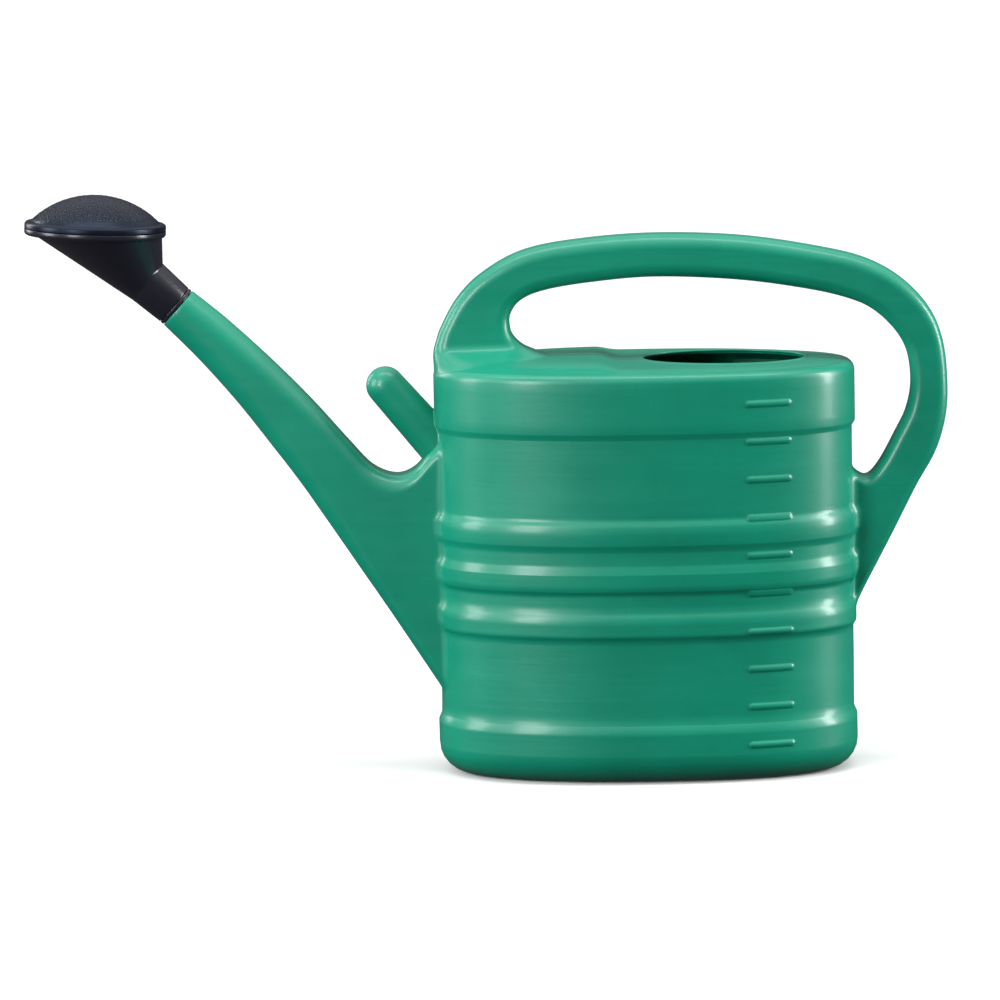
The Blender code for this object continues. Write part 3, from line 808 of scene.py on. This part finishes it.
def sleeve_skin():
    """A thin tube with a rounded lip, turned about the mouth's axis."""
    corners = [
        (SLEEVE_BORE, 12.0, 0.0),
        (SLEEVE_BORE, SLEEVE_LENGTH, 0.4),
        (SLEEVE_TUBE, SLEEVE_LENGTH, 0.5),
        (SLEEVE_TUBE, SLEEVE_LIP_HEIGHT, 0.4),
        (SLEEVE_LIP, SLEEVE_LIP_HEIGHT, 0.5),
        (SLEEVE_LIP, SLEEVE_START, 0.5),
        (SLEEVE_BORE, SLEEVE_START, 0.4),
        (SLEEVE_BORE, 11.0, 0.0),
    ]
    return looped(turned_rows(mouth_frame(), rounded_path(corners, 3), circle()))


def ruled(low, high, count):
    """Straight rows between two rings: (1 - t) times the first plus t times the second."""
    t = np.linspace(0.0, 1.0, count)[:, None, None]
    return (1.0 - t) * low + t * high


def funnel_skin():
    """Collar, ruled funnel and rim flange outside, and the same shape a wall's thickness inside.

    The ruled part runs from the collar's top circle to the oval under the flange.
    """
    mouth, rim, turn = mouth_frame(), rim_frame(), circle()
    collar = [
        (COLLAR_BORE, COLLAR_START + 2.0, 0.0),
        (COLLAR_BORE, COLLAR_START, 0.4),
        (COLLAR_RADIUS, COLLAR_START, 0.6),
        (COLLAR_TOP_RADIUS - 0.1, COLLAR_LENGTH - 1.0, 0.0),
    ]
    flange = [
        (45.6, -RIM_HEIGHT, 0.0),
        (RIM_RADIUS, -RIM_HEIGHT, 2.2),
        (RIM_RADIUS, -RIM_GAP, 0.35),
        (SKIRT_BORE, -RIM_GAP, 0.3),
        (SKIRT_BORE, -RIM_HEIGHT + 0.4, 0.0),
    ]
    stop = [
        (COLLAR_STOP, COLLAR_LENGTH),
        (COLLAR_STOP, SLEEVE_LENGTH + 1.0),
        (COLLAR_BORE, SLEEVE_LENGTH + 0.8),
        (COLLAR_BORE, COLLAR_START + 6.0),
    ]
    low = turned_rows(mouth, [(COLLAR_TOP_RADIUS, COLLAR_LENGTH)], turn)
    high = rings(rim, turn, FUNNEL_TOP[0], FUNNEL_TOP[1], -RIM_HEIGHT, FUNNEL_SHIFT)
    inner_across, inner_deep = (half - FUNNEL_WALL for half in FUNNEL_TOP)
    inner_high = rings(rim, turn, inner_across, inner_deep, -RIM_HEIGHT, FUNNEL_SHIFT)
    inner_low = turned_rows(mouth, [(COLLAR_TOP_RADIUS - 2.2, COLLAR_LENGTH + 2.5)], turn)
    rows = [
        turned_rows(mouth, rounded_path(collar, 3), turn),
        ruled(low, high, 25),
        turned_rows(rim, rounded_path(flange, 5)[1:], turn),
        ruled(inner_high, inner_low, 13),
        turned_rows(mouth, stop, turn),
    ]
    return looped(np.concatenate(rows))


def dome_path():
    """Half outline of the face: dome, rim bead, skirt, and the dome's inside."""
    centre = DOME_HEIGHT - DOME_RADIUS
    edge = math.acos(DOME_EDGE / DOME_RADIUS)
    rise = np.linspace(math.radians(89.0), edge, 40)
    dome = np.column_stack([DOME_RADIUS * np.cos(rise), centre + DOME_RADIUS * np.sin(rise)])
    inner = DOME_RADIUS - DOME_WALL
    skirt_inner = SKIRT_RADIUS - SKIRT_WALL
    fall = np.linspace(math.acos(skirt_inner / inner), math.radians(89.0), 16)
    ceiling = np.column_stack([inner * np.cos(fall), centre + inner * np.sin(fall)])
    bead = [
        (*dome[-1], 0.0),
        (DOME_EDGE + 0.9, RIM_HEIGHT + 0.2, 0.7),
        (RIM_RADIUS, RIM_HEIGHT, 2.2),
        (RIM_RADIUS, RIM_GAP, 0.35),
        (SKIRT_RADIUS, RIM_GAP, 0.3),
        (SKIRT_RADIUS, -SKIRT_DEPTH, 0.4),
        (skirt_inner, -SKIRT_DEPTH, 0.4),
        (*ceiling[0], 0.0),
    ]
    return np.vstack([dome, rounded_path(bead, 5)[1:-1], ceiling])


def spread_over_dome(lathe):
    """Copies of a small turned ring, set in circles over the dome, each about its own normal.

    Circle k lies k pitches of arc from the top, and its copies are an equal share of it apart.
    """
    origin, x_axis, y_axis, z_axis = rim_frame()
    around, down = [np.zeros(1)], [np.zeros(1)]
    for ring in range(1, JET_RINGS):
        angle = ring * JET_PITCH / DOME_RADIUS
        count = int(round(2.0 * math.pi * DOME_RADIUS * math.sin(angle) / JET_SPACING))
        around.append((np.arange(count) + 0.5 * (ring % 2)) * 2.0 * math.pi / count)
        down.append(np.full(count, angle))
    around, down = np.concatenate(around), np.concatenate(down)
    radial = np.cos(around)[:, None] * x_axis + np.sin(around)[:, None] * y_axis
    normal = np.sin(down)[:, None] * radial + np.cos(down)[:, None] * z_axis
    side = -np.sin(around)[:, None] * x_axis + np.cos(around)[:, None] * y_axis
    other = np.cross(normal, side)
    centre = origin + (DOME_HEIGHT - DOME_RADIUS) * z_axis + DOME_RADIUS * normal
    lathe = np.array(lathe)
    turn = circle(12)
    spoke = np.cos(turn)[:, None] * side[:, None, :] + np.sin(turn)[:, None] * other[:, None, :]
    points = centre[:, None, None, :] + lathe[None, :, None, :1] * spoke[:, None, :, :]
    points = points + lathe[None, :, None, 1:] * normal[:, None, None, :]
    _, faces = looped(points[0])
    faces = np.array(faces)[None] + np.arange(len(points))[:, None, None] * points.shape[1] * points.shape[2]
    return points.reshape(-1, 3), faces.reshape(-1, 4).tolist()


# Finishes ----------------


class Finish:
    """A node material under construction: makes nodes, sets their values and joins them up."""

    def __init__(self, name):
        """Start from a fresh Principled shader and the piece's own coordinates."""
        self.material = bpy.data.materials.new(name)
        self.material.use_nodes = True
        self.tree = self.material.node_tree
        self.shader = self.tree.nodes["Principled BSDF"]
        self.place = self.node("ShaderNodeTexCoord").outputs["Object"]

    def node(self, kind, inputs=None, **settings):
        """Add a node; an input is joined up if it is a socket, and set if it is a value."""
        made = self.tree.nodes.new(kind)
        for key, value in settings.items():
            setattr(made, key, value)
        for key, value in (inputs or {}).items():
            if isinstance(value, bpy.types.NodeSocket):
                self.tree.links.new(value, made.inputs[key])
            else:
                made.inputs[key].default_value = value
        return made

    def noise(self, scale, detail, roughness, stretch=(1.0, 1.0, 1.0)):
        """Fractal noise, with more waves to the metre along an axis that is stretched more."""
        place = self.place
        if stretch != (1.0, 1.0, 1.0):
            place = self.node("ShaderNodeMapping", {"Vector": place, "Scale": stretch}).outputs["Vector"]
        inputs = {"Vector": place, "Scale": scale, "Detail": detail, "Roughness": roughness}
        return self.node("ShaderNodeTexNoise", inputs).outputs["Fac"]

    def span(self, value, low, high, to_low, to_high):
        """Map a value from one range to another, held at its ends."""
        inputs = {"Value": value, "From Min": low, "From Max": high, "To Min": to_low, "To Max": to_high}
        return self.node("ShaderNodeMapRange", inputs).outputs["Result"]

    def math(self, operation, first, second):
        """One sum or product."""
        return self.node("ShaderNodeMath", {0: first, 1: second}, operation=operation).outputs["Value"]

    def mix(self, share, first, second):
        """Blend two colours; a mix node's colour sockets are its inputs 6 and 7 and its output 2."""
        return self.node("ShaderNodeMix", {0: share, 6: first, 7: second}, data_type="RGBA").outputs[2]

    def bump(self, height, distance, strength, under=None):
        """Turn a height into a normal on top of another; the distance is the full height in metres."""
        inputs = {"Height": height, "Distance": distance, "Strength": strength}
        if under:
            inputs["Normal"] = under
        return self.node("ShaderNodeBump", inputs).outputs["Normal"]

    def level(self, axis):
        """Distance along one of the piece's own axes."""
        return self.node("ShaderNodeSeparateXYZ", {"Vector": self.place}).outputs[axis]

    def connect(self, socket, value):
        """Join a node's output to the shader."""
        self.tree.links.new(value, self.shader.inputs[socket])

    def fixed(self, **values):
        """Set the shader's own sockets."""
        for key, value in values.items():
            self.shader.inputs[key.replace("_", " ")].default_value = value


def shade(colour, factor):
    """A colour made lighter or darker by a factor, with full alpha."""
    return tuple(min(1.0, c * factor) for c in colour) + (1.0,)


def green_polyethylene(settings):
    """Blown polyethylene: cloudy colour, faint flow lines, orange peel, scuffs and a dusty foot."""
    finish = Finish("green_polyethylene")
    colour = settings.can_colour
    cloud = finish.noise(14.0, 4.0, 0.6)
    base = finish.mix(finish.span(cloud, 0.35, 0.65, 0.0, 1.0), shade(colour, 0.93), shade(colour, 1.08))
    flow = finish.noise(26.0, 5.0, 0.65, (0.25, 0.25, 3.0))
    pale = (colour[0] + 0.003, colour[1] * 1.2 + 0.01, colour[2] * 1.2 + 0.01, 1.0)
    base = finish.mix(finish.span(flow, 0.5, 0.8, 0.0, 0.35), base, pale)
    scuff = finish.noise(190.0, 6.0, 0.7, (1.0, 1.0, 0.22))
    scuffed = finish.span(scuff, 0.62, 0.72, 0.0, 1.0)
    base = finish.mix(finish.math("MULTIPLY", scuffed, 0.05), base, (0.12, 0.46, 0.36, 1.0))
    dust = finish.span(finish.level("Z"), 0.0, 0.012, 0.22, 0.0)
    dust = finish.math("MULTIPLY", dust, finish.span(cloud, 0.3, 0.7, 0.3, 1.0))
    base = finish.mix(dust, base, (0.16, 0.22, 0.17, 1.0))
    finish.connect("Base Color", base)
    streak = finish.noise(170.0, 4.0, 0.6, (0.1, 0.1, 2.2))
    rough = finish.math("ADD", finish.span(flow, 0.3, 0.7, 0.37, 0.44), finish.span(streak, 0.3, 0.7, -0.03, 0.03))
    rough = finish.math("ADD", rough, finish.math("MULTIPLY", scuffed, 0.06))
    finish.connect("Roughness", rough)
    wave = finish.bump(finish.noise(45.0, 2.0, 0.5), 0.0005, 0.25)
    wave = finish.bump(streak, 0.00015, 0.5, wave)
    peel = finish.bump(finish.noise(950.0, 2.0, 0.5), 0.00012, 0.22, wave)
    finish.connect("Normal", peel)
    finish.fixed(IOR=1.5, Specular_IOR_Level=0.42, Coat_Weight=0.25, Coat_Roughness=0.18)
    return finish.material


def black_plastic(name, settings, pitted):
    """Moulded black plastic with a bluish bloom, faint dust, and pits between the jets where asked."""
    finish = Finish(name)
    colour = settings.rose_colour
    cloud = finish.noise(60.0, 4.0, 0.6)
    base = finish.mix(finish.span(cloud, 0.35, 0.7, 0.0, 1.0), shade(colour, 0.8), shade(colour, 1.5))
    speck = finish.noise(700.0, 4.0, 0.7)
    dusty = finish.math("MULTIPLY", finish.span(speck, 0.60, 0.72, 0.0, 1.0), 0.04)
    base = finish.mix(dusty, base, (0.10, 0.12, 0.19, 1.0))
    finish.connect("Base Color", base)
    rough = finish.math("ADD", finish.span(cloud, 0.3, 0.7, 0.27, 0.36), finish.math("MULTIPLY", dusty, 1.5))
    finish.connect("Roughness", rough)
    normal = finish.bump(finish.noise(1100.0, 2.0, 0.5), 0.0001, 0.2)
    if pitted:
        inputs = {"Vector": finish.place, "Scale": 330.0, "Randomness": 0.75}
        cell = finish.node("ShaderNodeTexVoronoi", inputs, feature="F1").outputs["Distance"]
        on_dome = finish.span(finish.level("Z"), *PIT_LEVELS, 0.0, 1.0)
        pits = finish.math("MULTIPLY", finish.span(cell, 0.1, 0.55, 0.0, 1.0), on_dome)
        normal = finish.bump(pits, 0.0005, 0.55, normal)
    finish.connect("Normal", normal)
    finish.fixed(IOR=1.5, Specular_IOR_Level=0.22, Specular_Tint=(0.5, 0.66, 1.0, 1.0))
    return finish.material


def painted_hole_shade(settings):
    """Painted shade for the inside of a water hole: a near-black colour on the discs set in the jets' bores,
    standing in for the dark where almost no light comes back out.
    """
    finish = Finish("water_hole_painted_shade")
    colour = settings.rose_colour
    cloud = finish.noise(900.0, 2.0, 0.5)
    finish.connect("Base Color", finish.mix(cloud, shade(colour, 0.1), shade(colour, 0.4)))
    finish.fixed(Roughness=0.9, Specular_IOR_Level=0.05)
    return finish.material


def studio_floor(settings):
    """Matt painted floor with a very slight mottle, lit from within far behind the can to stay pale."""
    finish = Finish("studio_floor")
    colour = settings.floor_colour
    cloud = finish.noise(3.0, 3.0, 0.5)
    finish.connect("Emission Strength", finish.span(finish.level("Y"), 0.5, 4.0, 0.0, 0.45))
    finish.connect("Base Color", finish.mix(cloud, shade(colour, 0.99), shade(colour, 1.01)))
    finish.fixed(Roughness=0.9, Specular_IOR_Level=0.1, Emission_Color=(1.0, 1.0, 1.0, 1.0))
    return finish.material


def studio_world():
    """Sky of the studio: bright overhead, dim towards the horizon."""
    world = bpy.data.worlds.new("studio")
    world.use_nodes = True
    tree = world.node_tree
    place = tree.nodes.new("ShaderNodeTexCoord")
    parts = tree.nodes.new("ShaderNodeSeparateXYZ")
    ramp = tree.nodes.new("ShaderNodeMapRange")
    ramp.interpolation_type = "SMOOTHSTEP"
    for key, value in SKY_RAMP.items():
        ramp.inputs[key].default_value = value
    tree.links.new(place.outputs["Generated"], parts.inputs["Vector"])
    tree.links.new(parts.outputs["Z"], ramp.inputs["Value"])
    tree.links.new(ramp.outputs["Result"], tree.nodes["Background"].inputs["Strength"])
    tree.nodes["Background"].inputs["Color"].default_value = SKY_COLOUR
    return world


def material_for(name, settings):
    """The named finish, made the first time it is asked for."""
    found = bpy.data.materials.get(name)
    if found:
        return found
    if name == "green_polyethylene":
        return green_polyethylene(settings)
    if name == "water_hole_painted_shade":
        return painted_hole_shade(settings)
    return black_plastic(name, settings, name == "black_plastic_pitted")


# Operators ----------------


def can_piece(node, skin, context):
    """Add a green piece that rides on the can and stands for its node of the frame."""
    settings = context.scene.watering_can
    material = material_for("green_polyethylene", settings)
    add_piece(node + "_moulding", skin(settings), material, "can", node)


class BuildTank(bpy.types.Operator):
    """Build the banded tank with its filler opening and litre marks"""

    bl_idname = "watering_can.build_tank"
    bl_label = "Tank"

    def execute(self, context):
        can_piece("tank", tank_skin, context)
        return {"FINISHED"}


class BuildSpout(bpy.types.Operator):
    """Build the spout with its root web, mouth and spigot"""

    bl_idname = "watering_can.build_spout"
    bl_label = "Spout"

    def execute(self, context):
        can_piece("spout", spout_skin, context)
        return {"FINISHED"}


class BuildHandle(bpy.types.Operator):
    """Build the handle bow with its front foot and rear web"""

    bl_idname = "watering_can.build_handle"
    bl_label = "Handle"

    def execute(self, context):
        can_piece("handle", handle_skin, context)
        return {"FINISHED"}


class BuildPeg(bpy.types.Operator):
    """Build the peg that the rose is parked on"""

    bl_idname = "watering_can.build_peg"
    bl_label = "Rose Holder Peg"

    def execute(self, context):
        can_piece("rose_holder_peg", peg_skin, context)
        return {"FINISHED"}


class BuildRose(bpy.types.Operator):
    """Build the rose: sleeve, funnel, domed face, the face's jets and near-black discs of painted shade in their
    bores
    """

    bl_idname = "watering_can.build_rose"
    bl_label = "Rose"

    def execute(self, context):
        settings = context.scene.watering_can
        plain = material_for("black_plastic", settings)
        pitted = material_for("black_plastic_pitted", settings)
        add_piece("rose_sleeve_moulding", sleeve_skin(), plain, "rose_sleeve", "rose_sleeve")
        add_piece("rose_funnel_moulding", funnel_skin(), plain, "rose_head", "rose_funnel")
        face = poled(turned_rows(rim_frame(), dome_path(), circle()))
        add_piece("rose_face_moulding", face, pitted, "rose_head", "rose_face")
        add_piece("rose_jets", spread_over_dome(JET_LATHE), plain, "rose_head")
        # The water holes' insides are painted shade: near-black discs set in the jets' bores.
        dark = material_for("water_hole_painted_shade", settings)
        add_piece("rose_hole_shades", spread_over_dome(HOLE_SHADE_LATHE), dark, "rose_head")
        return {"FINISHED"}


def aimed(place, target):
    """Matrix of a light or camera at a place, turned to face a target."""
    direction = Vector(target) - Vector(place)
    return Matrix.Translation(place) @ direction.to_track_quat("-Z", "Y").to_matrix().to_4x4()


def add_light(name, place, size, power):
    """A soft rectangular light at a place, facing the can."""
    data = bpy.data.lights.new(name, "AREA")
    data.shape = "RECTANGLE"
    data.size, data.size_y = size
    data.energy = power
    lamp = bpy.data.objects.new(name, data)
    lamp.matrix_world = aimed(place, LIGHT_TARGET)
    bpy.context.scene.collection.objects.link(lamp)


class BuildStage(bpy.types.Operator):
    """Build the floor, the soft lights and the camera"""

    bl_idname = "watering_can.build_stage"
    bl_label = "Studio Stage"

    def execute(self, context):
        scene = context.scene
        settings = scene.watering_can
        turn = circle(96)
        radii = np.array(FLOOR_RADII)[:, None]
        rows = np.stack([radii * np.cos(turn), radii * np.sin(turn), np.zeros((len(radii), len(turn)))], axis=-1)
        points, faces = poled(rows)
        mesh = bpy.data.meshes.new("studio_floor")
        mesh.from_pydata(points[:-1].tolist(), [], [face for face in faces if len(points) - 1 not in face])
        mesh.materials.append(studio_floor(settings))
        floor = bpy.data.objects.new("studio_floor", mesh)
        scene.collection.objects.link(floor)
        floor.visible_glossy = False
        floor.visible_diffuse = False

        for light in LIGHTS:
            add_light(*light)
        scene.world = studio_world()
        scene.view_settings.view_transform = "Standard"

        data = bpy.data.cameras.new("camera")
        data.lens = CAMERA_LENS
        data.sensor_width = 36.0
        data.clip_end = 100.0
        camera = bpy.data.objects.new("camera", data)
        roll = Matrix.Rotation(math.radians(CAMERA_ROLL), 4, "Z")
        camera.matrix_world = aimed(CAMERA_PLACE, CAMERA_AIM) @ roll
        scene.collection.objects.link(camera)
        scene.camera = camera
        return {"FINISHED"}


class WateringCanPanel(bpy.types.Panel):
    """Buttons and settings of the watering can"""

    bl_idname = "VIEW3D_PT_watering_can"
    bl_label = "Watering Can"
    bl_space_type = "VIEW_3D"
    bl_region_type = "UI"
    bl_category = "Watering Can"

    def draw(self, context):
        column = self.layout.column()
        for name in WateringCanSettings.__annotations__:
            column.prop(context.scene.watering_can, name)
        for operator in OPERATORS:
            column.operator(operator.bl_idname)


OPERATORS = (BuildTank, BuildSpout, BuildHandle, BuildPeg, BuildRose, BuildStage)
CLASSES = (WateringCanSettings, *OPERATORS, WateringCanPanel)


def register():
    """Add the settings, the operators and the panel to Blender."""
    for item in CLASSES:
        bpy.utils.register_class(item)
    bpy.types.Scene.watering_can = PointerProperty(type=WateringCanSettings)


def unregister():
    """Take them away again, in the other order."""
    del bpy.types.Scene.watering_can
    for item in reversed(CLASSES):
        bpy.utils.unregister_class(item)


def main():
    """Build every piece and the stage."""
    register()
    bpy.ops.watering_can.build_tank()
    bpy.ops.watering_can.build_spout()
    bpy.ops.watering_can.build_handle()
    bpy.ops.watering_can.build_peg()
    bpy.ops.watering_can.build_rose()
    bpy.ops.watering_can.build_stage()


if __name__ == "__main__":
    main()
